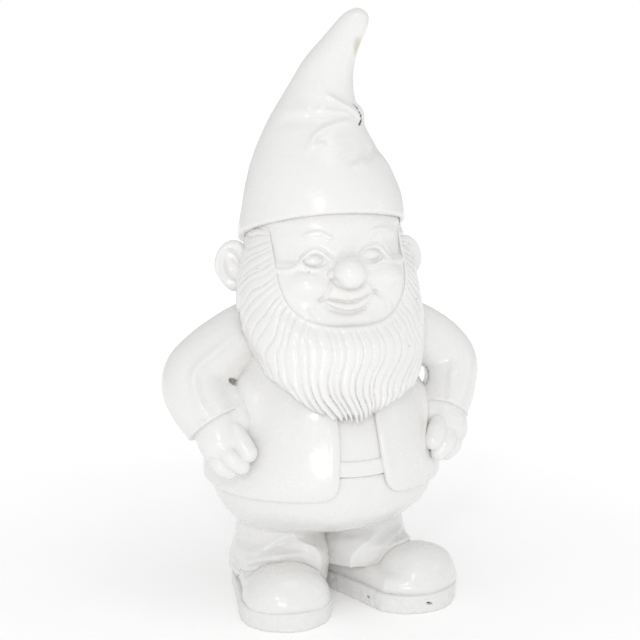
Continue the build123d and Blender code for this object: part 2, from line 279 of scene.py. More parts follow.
# Edge of the left jacket front, seen from SIGHT degrees to the gnome's right
SIDE_FOLD = [(138, 297), (140, 284), (142, 272), (142, 254), (139, 236), (139, 220), (141, 213)]
SLEEVE_RIDGES = {
    "right": [
        (
            [
                (-88, 378), (-112, 371), (-136, 355), (-152, 344), (-161, 334),
                (-165, 325), (-162, 308), (-155, 293), (-147, 281), (-136, 266),
            ],
            5.0, 6.0,
        ),
        ([(-158, 262), (-150, 266), (-144, 264)], 1.0, 1.8),
        ([(-158, 268), (-150, 272), (-143, 270)], 1.0, 1.8),
    ],
    "left": [([(176, 332), (180, 316), (178, 305), (177, 293), (175, 279), (171, 262)], 4.0, 5.5)],
}

# Hands: digits from the knuckle to the tip, with their radius
PALMS = {"right": ((163, -79, 240), (27, 22, 31)), "left": ((156, -78, 235), (26, 22, 30))}
DIGITS = {
    "right": [
        ([(148, -84, 256), (142, -93, 244), (134, -104, 230)], 13.5),
        ([(162, -99, 231), (154, -104, 223), (142, -105, 213)], 11.0),
        ([(172, -94, 221), (167, -98, 213), (156, -97, 205)], 10.5),
    ],
    "left": [
        ([(137, -89, 244), (131, -97, 235), (124, -103, 225)], 13.5),
        ([(149, -97, 231), (143, -103, 220), (132, -103, 208)], 12.0),
        ([(161, -93, 225), (157, -98, 215), (146, -98, 204)], 9.5),
    ],
}


# ---------------------------------------------------------------- small numeric tools


def ramp(t, low, high):
    """0 below low, 1 above high, smooth between."""
    t = np.clip((t - low) / (high - low), 0.0, 1.0)
    return t * t * (3 - 2 * t)


def hump(t, middle, width):
    return np.exp(-(((t - middle) / width) ** 2))


def smooth_table(t, rows):
    """Each column of rows after the first, read at t by a smooth curve through the rows."""
    rows = np.asarray(rows, float)
    at, values = rows[:, 0], rows[:, 1:]
    slopes = np.gradient(values, at, axis=0)
    t = np.clip(t, at[0], at[-1])
    i = np.clip(np.searchsorted(at, t) - 1, 0, len(at) - 2)
    gap = at[i + 1] - at[i]
    s = (t - at[i]) / gap
    weights = (2 * s**3 - 3 * s**2 + 1, s**3 - 2 * s**2 + s, 3 * s**2 - 2 * s**3, s**3 - s**2)
    return [
        weights[0] * values[i, k]
        + weights[1] * gap * slopes[i, k]
        + weights[2] * values[i + 1, k]
        + weights[3] * gap * slopes[i + 1, k]
        for k in range(values.shape[1])
    ]


LATTICE = np.random.default_rng(20).uniform(-1, 1, (32, 32, 32))


def noise(p, size, shift=0.0):
    """Smooth noise from -1 to 1 whose lumps are about size mm across."""
    q = p / size + shift * 7.31
    cell = np.floor(q).astype(int)
    f = q - cell
    f = f * f * (3 - 2 * f)
    total = 0.0
    for corner in np.ndindex(2, 2, 2):
        c = (cell + corner) % 32
        weight = np.prod(np.where(corner, f, 1 - f), axis=1)
        total = total + weight * LATTICE[c[:, 0], c[:, 1], c[:, 2]]
    return total


def join(a, b, k):
    """The union of two fields, its inner corner rounded by about k."""
    h = np.maximum(k - np.abs(a - b), 0) / k
    return np.minimum(a, b) - h * h * k / 4


def meet(a, b, k):
    return -join(-a, -b, k)


def cut(a, b, k):
    return -join(-a, b, k)


def egg(p, centre, radii, turn=(0, 0, 0)):
    """An ellipsoid, turned by degrees about X, Y and Z."""
    q = p - np.asarray(centre, float)
    if any(turn):
        q = q @ np.array(Euler([radians(t) for t in turn]).to_matrix())
    radii = np.asarray(radii, float)
    k0 = np.linalg.norm(q / radii, axis=1)
    k1 = np.linalg.norm(q / radii**2, axis=1)
    return np.where(k0 < 1e-3, -radii.min(), k0 * (k0 - 1) / np.maximum(k1, 1e-9))


def curve_points(points, per_span=6):
    """Points along a smooth curve through the given ones."""
    points = np.asarray(points, float)
    t = np.arange(len(points))
    fine = np.linspace(0, len(points) - 1, (len(points) - 1) * per_span + 1)
    return np.stack(smooth_table(fine, np.column_stack([t, points])), axis=1)


def nearest(p, line):
    """Distance from each point to a polyline, and how far along it, 0 to 1, the nearest point is."""
    best = np.full(len(p), 1e9)
    along = np.zeros(len(p))
    for i, (a, b) in enumerate(zip(line[:-1], line[1:])):
        ab = b - a
        h = np.clip((p - a) @ ab / (ab @ ab), 0, 1)
        d = ((p - a - h[:, None] * ab) ** 2).sum(1)
        closer = d < best
        best = np.where(closer, d, best)
        along = np.where(closer, (i + h) / (len(line) - 1), along)
    return np.sqrt(best), along


def tube(p, points, radii):
    """A round limb along a smooth curve, its radius changing from point to point."""
    line = curve_points(np.column_stack([np.asarray(points, float), radii]))
    best = np.full(len(p), 1e9)
    for (*a, ra), (*b, rb) in zip(line[:-1], line[1:]):
        a, b = np.array(a), np.array(b)
        ab = b - a
        h = np.clip((p - a) @ ab / (ab @ ab), 0, 1)
        best = np.minimum(best, np.linalg.norm(p - a - h[:, None] * ab, axis=1) - ra - (rb - ra) * h)
    return best


def front_view(p, turn=0.0):
    """The points as seen from the front, turned by so many degrees, and 1 on the seen side."""
    c, s = cos(radians(turn)), sin(radians(turn))
    return np.column_stack([p[:, 0] * c - p[:, 1] * s, p[:, 2]]), ramp(-(p[:, 0] * s + p[:, 1] * c), -12, 15)


def crease(d, q, points, height, width, fade=0.25, where=None, power=2):
    """Adds a ridge, or with a negative height a groove, along a curve. q is where d was measured.
    A higher power makes it flatter on top with steeper sides."""
    line = curve_points(points)
    reach = 3 * width
    inside = ((q > line.min(0) - reach) & (q < line.max(0) + reach)).all(1)
    if not inside.any():
        return d
    away, along = nearest(q[inside], line)
    shape = height * np.exp(-((away / width) ** power))
    if fade:
        shape = shape * ramp(along, 0, fade) * ramp(1 - along, 0, fade)
    if where is not None:
        shape = shape * where[inside]
    out = d.copy()
    out[inside] -= shape
    return out


def creases(d, q, rows, where=None):
    for points, height, width in rows:
        d = crease(d, q, points, height, width, where=where)
    return d


def ellipse(x, y, half_width, half_depth):
    """Distance to an ellipse in plan."""
    k0 = np.hypot(x / half_width, y / half_depth)
    k1 = np.hypot(x / half_width**2, y / half_depth**2)
    small = np.minimum(half_width, half_depth)
    return np.where(k0 < 1e-3, -small, k0 * (k0 - 1) / np.maximum(k1, 1e-9))


def tower(p, rows, grow=0.0):
    """A stack of level ellipses: rows of (height, centre x, centre y, half width, half depth)."""
    cx, cy, rx, ry = smooth_table(p[:, 2], rows)
    return ellipse(p[:, 0] - cx, p[:, 1] - cy, rx + grow, ry + grow)


def capped(d, p, low, high, k=1.0):
    """The part of a tower between two heights."""
    return meet(d, np.maximum(low - p[:, 2], p[:, 2] - high), k)


def slope_z(y):
    """Height of the hat's brim plane at depth y."""
    return BRIM_Z - tan(radians(BRIM_TILT)) * y


# ---------------------------------------------------------------- reading the CAD solids


def cad_mesh(node):
    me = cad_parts[node].data
    co = np.empty(len(me.vertices) * 3)
    me.vertices.foreach_get("co", co)
    edges = np.empty(len(me.edges) * 2, int)
    me.edges.foreach_get("vertices", edges)
    return co.reshape(-1, 3) * MM, edges.reshape(-1, 2)


def sections(nodes, heights):
    """Level sections through CAD nodes together: (height, centre x, centre y, half width, half depth)."""
    meshes = [cad_mesh(n) for n in nodes]
    rows = []
    for z in heights:
        found = []
        for co, edges in meshes:
            a, b = co[edges[:, 0]], co[edges[:, 1]]
            crossing = (a[:, 2] - z) * (b[:, 2] - z) < 0
            a, b = a[crossing], b[crossing]
            t = (z - a[:, 2:3]) / (b[:, 2:3] - a[:, 2:3])
            found.append((a + (b - a) * t)[:, :2])
        xy = np.concatenate(found)
        low, high = xy.min(0), xy.max(0)
        rows.append((z, *((low + high) / 2), *((high - low) / 2)))
    return rows


HAT_ROWS = sections(["hat"], list(range(540, 796, 10)) + [798.5])
HAT_FOOT = [
    (z, HAT_ROWS[0][1] - 1, HAT_ROWS[0][2], HAT_ROWS[0][3] + w, HAT_ROWS[0][4] + w)
    for z, w in ((450, 5.5), (480, 6), (510, 4.5))
]
HAT_ROWS = HAT_FOOT + HAT_ROWS
HEAD_ROWS = sections(["head"], [399, 406, 414, 424, 434, 484, 496, 510, 525, 540, 555, 566, 572])
JACKET_NODES = ["jacket_back", "jacket_front_right", "jacket_front_left"]
JACKET_ROWS = sections(JACKET_NODES, list(range(166, 392, 9)) + [393])
TROUSER_ROWS = sections(["trousers"], [97, 101, 106, 112, 120, 130, 142, 156, 172, 194])
HAIR_ROWS = [(z, 0.0, *rest) for z, *rest in HAIR]


# ---------------------------------------------------------------- fields of the pieces


def hat(p):
    d = tower(p, HAT_ROWS)
    d = meet(d, p[:, 2] - HAT_TOP, 9)
    d = join(d, egg(p, (59, -20, 579), (26, 38, 26)), 9)
    d = join(d, egg(p, (42.5, -12, 656), (11.5, 18, 17)), 6)
    q, seen = front_view(p, SIGHT)
    d = creases(d, q, HAT_FOLDS, seen)
    slit, along = nearest(q, curve_points(HAT_SLIT))
    slit = slit - SLIT_R[0] - (SLIT_R[1] - SLIT_R[0]) * along
    turn = radians(SIGHT)
    back = p[:, 0] * sin(turn) + p[:, 1] * cos(turn)
    d = cut(d, np.maximum(slit, back), 2.0)
    d = d - 0.8 * noise(p, 50, 1) - 0.3 * noise(p, 19, 2)
    lift = np.where(p[:, 0] > 0, 7.0, 2.0) * (p[:, 0] / 116) ** 2
    brim = (slope_z(p[:, 1]) + lift - p[:, 2]) * cos(radians(BRIM_TILT))
    d = meet(d, brim + 0.6 * noise(p, 60, 3), 3.5)
    covered = np.where(p[:, 1] < -20, -face_opening(p), -99.0)
    inner = np.maximum(np.maximum(tower(p, HAIR_ROWS, 0.5), p[:, 2] - 516), covered)
    return cut(d, np.minimum(inner, skull(p) - 0.6), 1.0)


def face_y(x, z):
    """Depth of the face's front skin, which follows the hair's round a little way in."""
    z = np.atleast_1d(np.asarray(z, float))
    _, cy, rx, ry = smooth_table(z, HAIR_ROWS)
    sink = face_sink(x, z)
    return cy - (ry - sink) * np.sqrt(np.maximum(1 - (x / (rx - sink)) ** 2, 0.05))


def face_sink(x, z):
    """How far the face's skin lies inside the hair's round."""
    return 3.4 + 5.0 * ramp(-z, -440, -400) + 8.6 * np.exp(-((x / 50) ** 2))


def on_face(x, proud, z):
    """A place standing proud of the face's skin, or sunk in it."""
    return x, float(face_y(x, z)[0]) - proud, z


def skull(p):
    """The head without its features."""
    d = tower(p, HEAD_ROWS) + 4 * ramp(np.abs(p[:, 0] + 3), 45, 80) * ramp(-p[:, 2], -525, -505)
    d = capped(d, p, 398, 573, 6)
    _, cy, rx, ry = smooth_table(p[:, 2], HAIR_ROWS)
    sink = face_sink(p[:, 0], p[:, 2])
    mask = ellipse(p[:, 0], p[:, 1] - cy, rx - sink, ry - sink)
    mask = np.maximum(np.maximum(mask, face_opening(p) - 4), p[:, 1] + 25)
    return join(d, meet(mask, p[:, 2] - 520, 12), 10)


def eye(d, p, q, seen, side, shapes):
    """Socket, ball, lids and the folds round them."""
    x, z, across, tall = shapes["temple"]
    above = q[:, 1] - z
    above = np.where(above > 0, above / tall, above / TEMPLE_EDGE)
    d = d + TEMPLE_DEEP * seen * np.exp(-(((q[:, 0] - x) / across) ** 2) - above**2)
    x, proud, z, across, tall = shapes["socket"]
    d = cut(d, egg(p, on_face(x, proud, z), (across, 9, tall), (0, 0, side * 20)), 5)
    for line, radius, proud, soft in LIDS:
        points = [on_face(x, proud, z) for x, z in shapes[line]]
        d = join(d, tube(p, points, [radius] * len(points)), soft)
    x, proud, z, across, tall = shapes["ball"]
    d = join(d, egg(p, on_face(x, proud, z), (across, 12.5, tall), (0, side * -3, side * 18)), 0.8)
    d = crease(d, q, shapes["fold"], -2.2, 1.8, fade=0.15, where=seen)
    d = crease(d, q, shapes["slit"], -1.2, 1.1, fade=0.15, where=seen)
    return crease(d, q, shapes["wrinkle"], -1.3, 1.8, where=seen)


def nose(d, p):
    x, y, z = NOSE
    bridge = [on_face(0, -2, 494), on_face(-2, 1, 482), on_face(-5, 7, 470)]
    d = join(d, tube(p, bridge, [7, 9, 13]), 10)
    d = join(d, egg(p, (x - 17, y + 15, z - 3), (8, 9, 7)), 3)
    d = join(d, egg(p, (x + 18, y + 15, z - 3), (8, 9, 7)), 3)
    return join(d, egg(p, NOSE, (20.5, 20, 20)), 2.4 + 5.0 * ramp(p[:, 2], 462, 478))


def mouth(d, p, q, seen):
    """Lips drawn back in a wide smile, with the creases and chin that it makes."""
    d = join(d, egg(p, on_face(-3, -9, 434), (31, 15, 20)), 6)
    d = join(d, egg(p, on_face(0, -12, 399), (40, 15, 12)), 6)
    radii = [1.6, 3.8, 5.0, 5.4, 5.0, 3.8, 1.6]
    d = join(d, tube(p, [on_face(x, r / 3, z) for (x, z), r in zip(LIP, radii)], radii), 1.6)
    for x, z, wide in ((-38, 424.5, 3.0), (35, 432, 3.4)):
        d = cut(d, egg(p, on_face(x, 2, z), (wide, 5, 2.6)), 2.5)
    return creases(d, q, MOUTH, seen)


def head(p):
    d = skull(p)
    q, seen = front_view(p)
    for x, z, side in ((-51, 442.5, -1), (50, 450, 1)):
        d = join(d, egg(p, on_face(x, -17.5, z), (28, 24, 21.5), (0, 0, side * 20)), 6)
    for x, z, side in ((-40, 501, -1), (45, 506, 1)):
        d = join(d, egg(p, on_face(x, -10, z), (26, 12, 9), (0, 0, side * 20)), 10)
    for name, side in SIDES.items():
        d = eye(d, p, q, seen, side, EYES[name])
    d = nose(d, p)
    d = mouth(d, p, q, seen)
    for line in BROWS:
        d = crease(d, q, line, BROW_PROUD, BROW_R, fade=0, where=seen, power=6)
    return d - 0.22 * noise(p, 22, 4) - 0.10 * noise(p, 8, 5)


def face_opening(p):
    """Distance to the edge of the face opening in front view, negative in the opening."""
    x = np.abs(p[:, 0] - FACE_CENTRE[0]) / FACE_HALF_WIDTH
    z = np.maximum(FACE_CENTRE[1] - p[:, 2], 0) / FACE_DROP
    r = (x**FACE_POWER + z**FACE_POWER) ** (1 / FACE_POWER)
    return (r - 1) * np.where(x > z, FACE_HALF_WIDTH, FACE_DROP)


def locks(phase, depth):
    """Relief of rounded locks parted by narrow grooves, each its own depth, with finer grooves between."""
    phase = phase + 0.14 * np.sin(2.3 * phase + 1.0) + 0.07 * np.sin(5.1 * phase)
    number = np.round(phase)
    off = np.abs(phase - number)
    deep = (0.72 + 0.28 * np.sin(2.7 * number + 0.6)) * np.exp(-((off / 0.12) ** 1.3))
    fine = np.abs((2 * phase + 0.36) % 1 - 0.5)
    fine = 0.22 * np.exp(-fine / 0.10) * (0.5 + 0.5 * np.sin(1.9 * number))
    return depth * (0.40 * np.sin(np.pi * off) - deep - fine)


def beard_phase(p, a):
    """Which lock of the beard a point is on: a whole number in each groove."""
    z = p[:, 2]
    sway = smooth_table(z, SWAY)[0]
    sway = np.where(z < 300, sway * (1 - ramp(a, 25, 60)), sway) * (1 - 0.7 * ramp(-a, 45, 90))
    fan = 1 + 0.10 * ramp(-z, -400, -340)
    return (a / fan - sway + 2.0 * noise(p, 38, 6)) / LOCK


def strands(p, a):
    """Height of the hair and beard's relief, a being the distance round from the middle."""
    z = p[:, 2]
    side = np.abs(a)
    beard = locks(beard_phase(p, a), 1.5 + 2.4 * ramp(-z, -345, -290))
    # Sides: strands fan out and down from the face
    fan = np.arctan2(508 - z - 0.0016 * (side - 90) ** 2, side - 24)
    sides = locks(fan / 0.076 + 0.6 * noise(p, 26, 7), 1.6)
    nape = locks(a / 10 + 0.8 * np.sin(z / 17) + 0.3 * noise(p, 30, 8), 1.8)
    edge = ramp(z + 0.55 * (side - 58), 384, 402)
    front = beard * (1 - edge) + sides * edge
    back = ramp(side, 168, 200)
    return front * (1 - back) + nape * back


def hair(p):
    x, y, z = p.T
    a = np.arctan2(x, smooth_table(z, HAIR_ROWS)[1] - y) * 112.0
    d = tower(p, HAIR_ROWS)
    opening = face_opening(p)
    in_front = ramp(-y, 10, 45)
    lean = ramp(-z, -440, -400)
    d = d + in_front * (2.0 + 6 * lean) * np.exp(-((np.maximum(opening, 0) / 14) ** 2))
    height = strands(p, a) * (0.25 + 0.75 * ramp(opening, 0, 7))
    height = height + 1.2 * hump(opening, 2.0, 3.0) * in_front
    edge_z = np.interp(x, *np.array(BEARD_EDGE, float).T)
    phase = beard_phase(p, a)
    notch = 1 - 2 * np.abs(phase - np.round(phase))
    low = (edge_z + (9 * notch - 4 + 4 * noise(p, 12, 9)) * ramp(-z, -370, -320) - z) * 0.75
    low = np.where(y > -45, NAPE_Z - z + 3 * np.sin(np.arctan2(x, -y) * 14), low)
    d = meet(d - height, low, 10)
    d = meet(d, z - 515.5, 1.0)
    d = cut(d, np.maximum(opening, y + 20), 2.5)
    return np.maximum(d, -tower(p, JACKET_ROWS, -1.0) - 60 * ramp(z, 394, 420))


def ear(p, side):
    turn = radians(EAR_TURN)
    q = p - np.array([side * EAR_AT[0], EAR_AT[1], EAR_AT[2]])
    out = q @ np.array([side * cos(turn), sin(turn), 0])
    face = q @ np.array([side * sin(turn), -cos(turn), 0])
    up = q[:, 2]
    width = EAR_WIDTH * (1 - 0.26 * ramp(-up, 0, EAR_HEIGHT))
    r = np.hypot(out / width, up / EAR_HEIGHT)
    bend = 0.009 * np.maximum(out + 6, 0) ** 2
    dish = np.exp(-(np.hypot((out - 1) / 8, (up + 3) / 9) ** 2))
    skin = face - bend - 5.5 + 1.6 * dish + 2.5 * ramp(r, 0.8, 1.05)
    skin = creases(skin, np.column_stack([out, up]), EAR_GROOVES)
    sheet = np.maximum(skin, -(face - bend) - 5.0)
    return meet((r - 1) * EAR_WIDTH * 0.9, sheet, 6) - 0.15 * noise(p, 10, 10)


def jacket_layer(p):
    skin = tower(p, JACKET_ROWS) - 1.1 * noise(p, 70, 11) - 0.35 * noise(p, 24, 12)
    return np.maximum(skin, -(tower(p, JACKET_ROWS) + JACKET))


def hem(p):
    """Distance below the jacket's hem, which dips a little at the front."""
    angle = np.arctan2(p[:, 0], -p[:, 1])
    return HEM_Z + 1.5 * np.sin(2 * angle + 0.4) + 1.2 * noise(p, 80, 13) - p[:, 2]


def jacket_front(p, side):
    (sx, sy, sz), radii = SWELL[SIDE_NAMES[side]]
    d = join(jacket_layer(p), egg(p, (side * sx, sy, sz), radii), 22)
    x, y, z = p.T
    right, left = np.interp(z, *zip(*RIGHT_EDGE)), np.interp(z, *zip(*LEFT_EDGE))
    beyond = x - right if side < 0 else left - x
    outline = meet(beyond, hem(p), 26)
    d = meet(d, outline, 7.5)
    d = meet(d, z - 393.5, 2)
    if side < 0:
        d = crease(d, p, [(-46, -136, 268), (-46, -143, 240), (-44, -148, 205), (-43, -150, 176)], -0.7, 2.5)
        d = crease(d, p, [(-32, -134, 276), (-31, -142, 240), (-33, -148, 205), (-36, -150, 180)], 1.5, 7)
    else:
        q, seen = front_view(p, SIGHT)
        d = crease(d, q, SIDE_FOLD, 2.2, 2.2, where=seen)
        d = crease(d, p, [(39, -132, 272), (41, -142, 240), (45, -146, 208), (52, -148, 182)], 1.2, 7)
    d = np.maximum(d, y + 0.15)
    return np.maximum(d, -side * x)


def jacket_back(p):
    d = meet(jacket_layer(p), hem(p), 7.5)
    d = meet(d, p[:, 2] - 393.5, 2)
    d = crease(d, p, BACK_SEAM, -1.4, 3.0, fade=0.1)
    return np.maximum(d, 0.15 - p[:, 1])


def shirt(p):
    d = tower(p, JACKET_ROWS, -SHIRT) - 0.6 * noise(p, 30, 14)
    d = crease(d, p, [(6, -150, 262), (5, -150, 240), (6, -150, 219)], -0.8, 1.4, fade=0)
    return capped(d, p, 196.5, 392, 1.0)


def waistband(p):
    d = tower(p, JACKET_ROWS, BAND_PROUD - SHIRT)
    d = np.maximum(d, -tower(p, JACKET_ROWS, -JACKET))
    sag = 0.004 * (p[:, 0] - 8) ** 2
    d = meet(d, np.maximum(BAND_Z[0] + sag * 0.3 - p[:, 2], p[:, 2] - BAND_Z[1] - sag * 0.3), 2.5)
    d = np.maximum(d, np.maximum(-26.0 - p[:, 0], p[:, 0] - 42.0))
    return np.maximum(d, p[:, 1])


def seat(p):
    """The round of the trousers, its underside drawn up at the front and on the gnome's left."""
    lift = 8 * ramp(-p[:, 1], 10, 90) + 3 * ramp(p[:, 0], 40, 120)
    return p - np.array([0, 0, 1]) * (lift * ramp(-p[:, 2], -156, -116))[:, None]


def trousers(p):
    p = seat(p)
    d = tower(p, TROUSER_ROWS) - 0.9 * noise(p, 55, 15) - 0.3 * noise(p, 18, 16)
    for side in SIDES.values():
        d = crease(d, p, [(side * 30, -140, 192), (side * 60, -128, 165), (side * 96, -100, 140)], 0.9, 12)
    return capped(d, p, 97.0, 196.3, 1.5)


def boot_frame(p, name):
    """Along the foot from the toe centre towards the heel, across it, and height, with the foot's sizes."""
    (tx, ty, tr), (hx, hy, hr) = SOLES[name]
    reach = np.hypot(hx - tx, hy - ty)
    along = np.array([hx - tx, hy - ty]) / reach
    across = np.array([-along[1], along[0]])
    q = p[:, :2] - np.array([tx, ty])
    return q @ along, q @ across, p[:, 2], reach, tr, hr


def sole_outline(p, name):
    s, t, _, reach, tr, hr = boot_frame(p, name)
    lean = (tr - hr) / reach
    h = np.clip((s + np.abs(t) * lean / np.sqrt(1 - lean**2)) / reach, 0, 1)
    return np.hypot(s - h * reach, t) - (tr + (hr - tr) * h)


def upper(p, name, grow=0.0):
    """The boot above its sole: a bulging toe cap, a low vamp behind it and a quarter up to the trousers."""
    s, t, z, reach, tr, hr = boot_frame(p, name)
    length, width, top, shift = TOE_CAP[name]
    foot = SOLE_H - 6
    q = [(s + tr - 2.5 - length) / length, (t - shift) / width, (z - foot) / (top - foot)]
    q = np.abs(np.column_stack(q))
    cap = ((q**2.4).sum(1) ** (1 / 2.4) - 1) * length * 0.9
    vamp = meet(sole_outline(p, name) + 4.5, z - 47 - 0.04 * s, 18)
    front, back = 22.0, reach + hr - 4.0
    rear = np.column_stack([(s - (front + back) / 2) / ((back - front) / 2), t / (hr - 4.0)])
    rear = meet((np.hypot(*rear.T) - 1) * hr * 0.9, z - 66, 12)
    d = join(join(cap, vamp, 5), rear, 12) - grow
    return d - 0.5 * noise(p, 22, 17) - 0.2 * noise(p, 8, 18)


def boot(p, name):
    d = meet(upper(p, name), SOLE_H - 1.6 - p[:, 2], 0.6)
    return d + 1.0 * hump(p[:, 2], SOLE_H + 1.0, 2.5)


def sole(p, name):
    outline = sole_outline(p, name)
    z = p[:, 2]
    lump = 0.8 * noise(p, 6, 19) + 0.9 * noise(p, 15, 20) + 0.5 * noise(p, 3.2, 21)
    wall = outline - lump * (0.5 + 0.5 * ramp(SOLE_H - z, 2, 8)) - 1.3 * hump(z, SOLE_H - 2, 3.0)
    d = meet(wall, z - SOLE_H - 0.3 * lump, 3.5)
    if name == "left":
        d = cut(d, egg(p, (105, -144.5, 12.5), (5, 9, 1.8), (0, 14, 0)), 0.5)
    d = np.maximum(d, -z)
    return np.maximum(d, -(outline + 7.0))


def leg(p, name):
    d = tower(p, LEGS[name])
    x, y, z = p.T
    cx, cy, across, deep = HEMS[name]
    drape = meet(upper(p, name, 6.0), ellipse(x - cx, y - cy, across, deep), 6)
    d = join(np.maximum(d, 40 - z), drape, 14)
    outer = ramp(-x, 20, 60) if name == "right" else ramp(x, 20, 60)
    blend = join(d, tower(seat(p), TROUSER_ROWS, -1.0), 4 + 9 * outer)
    d = np.maximum(blend, d - 12)
    q, seen = front_view(p, SIGHT)
    d = creases(d, q, LEG_FOLDS[name], seen)
    d = d - 1.0 * noise(p, 26, 22) - 0.35 * noise(p, 10, 23)
    d = meet(d, HEM_LOW[name] + 3 * np.sin(x / 15) - z, 4)
    d = meet(d, z - 122, 3)
    return np.maximum(d, -upper(p, name, -0.5))


def flip(points, side):
    return [(side * x, *rest) for x, *rest in points]


def limb(p, rows, side):
    """A tube through rows of (x, y, z, radius), given for the gnome's left."""
    return tube(p, flip([row[:3] for row in rows], side), [row[3] for row in rows])


def cuff_side(p, side):
    """Distance beyond the cuff's plane."""
    axis = np.array([side * CUFF_AXIS[0], CUFF_AXIS[1], CUFF_AXIS[2]])
    at = CUFFS[SIDE_NAMES[side]]
    return (p - np.array([side * at[0], *at[1:]])) @ (axis / np.linalg.norm(axis))


def crook(p, side):
    """What fills the space between the forearm or hand and the jacket."""
    return limb(p, WEBS[SIDE_NAMES[side]], side)


def gap(p, side):
    """The pocket under the right arm, or the hole under the left, which runs from front to back."""
    if side < 0:
        return egg(p, *POCKET)
    at, (wide, tall) = HOLE
    q = p - np.array(at)
    q = q - q[:, 1:2] * np.array([0.325, 1, -0.14])
    return (np.hypot(q[:, 0] / wide, q[:, 2] / tall) - 1) * wide


def sleeve(p, side):
    d = join(limb(p, SLEEVES[SIDE_NAMES[side]], side), crook(p, side), 10)
    d = cut(d, np.maximum(gap(p, side), p[:, 1] - 60), 5)
    q, seen = front_view(p, SIGHT)
    d = creases(d, q, SLEEVE_RIDGES[SIDE_NAMES[side]], seen)
    d = d - 0.7 * noise(p, 38, 24 + side) - 0.2 * noise(p, 14, 26)
    beyond = cuff_side(p, side)
    d = meet(d - 0.8 * hump(beyond, -1, 5), beyond, 1.6)
    return np.maximum(d, -tower(p, JACKET_ROWS, -3.0))


def hand(p, side):
    name = SIDE_NAMES[side]
    start, (centre, radii) = CUFFS[name], PALMS[name]
    wrist = [(start[0] + 2, start[1] + 5, start[2] + 7), (start[0] - 2, start[1] - 7, start[2] - 7), centre]
    r = WRIST_R[name]
    d = tube(p, flip(wrist, side), [r, r - 2, r - 6])
    d = join(d, egg(p, (side * centre[0], *centre[1:]), radii, (0, side * 18, 0)), 8)
    d = join(d, crook(p, side), 8)
    digits = None
    for points, radius in DIGITS[name]:
        one = tube(p, flip(points, side), [radius * 0.92, radius * 1.04, radius * 0.95])
        digits = one if digits is None else join(digits, one, 0.6)
    d = join(d, digits, 1.8)
    d = d - 0.3 * noise(p, 14, 27)
    d = np.maximum(d, -(cuff_side(p, side) + 12))
    return np.maximum(d, -tower(p, JACKET_ROWS, -2.0))


# ---------------------------------------------------------------- fields to meshes

BLOCK = 4
REACH = 2.2
CHUNK = 30_000
POOL = ThreadPoolExecutor(4)


def evaluate(field, points):
    parts = [points[i : i + CHUNK] for i in range(0, len(points), CHUNK)]
    return np.concatenate(list(POOL.map(field, parts)))


def grid_axis(low, high, step, fine=None):
    """Grid lines from low to high. fine is (limit, factor): past the limit they lie factor times wider."""
    margin = 3 * step
    if fine is None:
        lines = np.arange(low - margin, high + margin, step)
    else:
        limit, factor = fine
        near_lines = np.arange(low - margin, limit, step)
        far_lines = np.arange(near_lines[-1] + step * factor, high + margin * factor, step * factor)
        lines = np.concatenate([near_lines, far_lines])
    spare = -len(lines) % BLOCK
    gap = lines[-1] - lines[-2]
    return np.concatenate([lines, lines[-1] + gap * np.arange(1, spare + 1)])


def sample(field, axes):
    """The field on the grid: exact near the surface, and of the right sign elsewhere."""
    middles = [a.reshape(-1, BLOCK).mean(1) for a in axes]
    sizes = [np.ptp(a.reshape(-1, BLOCK), axis=1) + np.diff(a).max() for a in axes]
    mesh = np.stack(np.meshgrid(*middles, indexing="ij"), -1).reshape(-1, 3)
    size = np.max(np.stack(np.meshgrid(*sizes, indexing="ij"), -1), -1)
    coarse = evaluate(field, mesh).reshape(size.shape)
    near_blocks = np.argwhere(np.abs(coarse) < size * REACH / 1.5)
    values = coarse.astype(np.float32)
    for k in range(3):
        values = np.repeat(values, BLOCK, axis=k)
    offsets = np.stack(np.meshgrid(*[np.arange(BLOCK)] * 3, indexing="ij"), -1).reshape(-1, 3)
    index = (near_blocks[:, None, :] * BLOCK + offsets[None]).reshape(-1, 3)
    points = np.column_stack([axes[k][index[:, k]] for k in range(3)])
    values[tuple(index.T)] = evaluate(field, points)
    for k in range(3):
        for end in (0, -1):
            edge = np.moveaxis(values, k, 0)[end]
            if (edge < 0).any():
                print("the surface reaches the side of its grid:", "xyz"[k], end)
            edge[edge < 0] = 1.0
    return values


def surface(values):
    """Vertices, in grid units, and quads of the zero surface: one vertex in each cell that it passes."""
    cells, points, quads, flips = [], [], [], []
    shape = np.array(values.shape)
    for axis in range(3):
        u, w = (axis + 1) % 3, (axis + 2) % 3
        change = np.diff((values < 0).astype(np.int8), axis=axis)
        at = np.argwhere(change)
        step = np.eye(3, dtype=int)
        a, b = values[tuple(at.T)], values[tuple((at + step[axis]).T)]
        point = at.astype(float)
        point[:, axis] += a / (a - b)
        ring = [at - step[u] - step[w], at - step[w], at, at - step[u]]
        cells.append(np.stack([np.ravel_multi_index(tuple(c.T), shape) for c in ring], 1))
        points.append(np.repeat(point[:, None], 4, axis=1))
        flips.append(change[tuple(at.T)] > 0)
    cells, points = np.concatenate(cells), np.concatenate(points)
    flips = np.concatenate(flips)
    names, quads = np.unique(cells.ravel(), return_inverse=True)
    quads = quads.reshape(-1, 4)
    count = np.bincount(quads.ravel())
    flat = points.reshape(-1, 3)
    vertices = np.column_stack([np.bincount(quads.ravel(), flat[:, k]) / count for k in range(3)])
    quads[flips] = quads[flips][:, ::-1]
    return vertices, quads


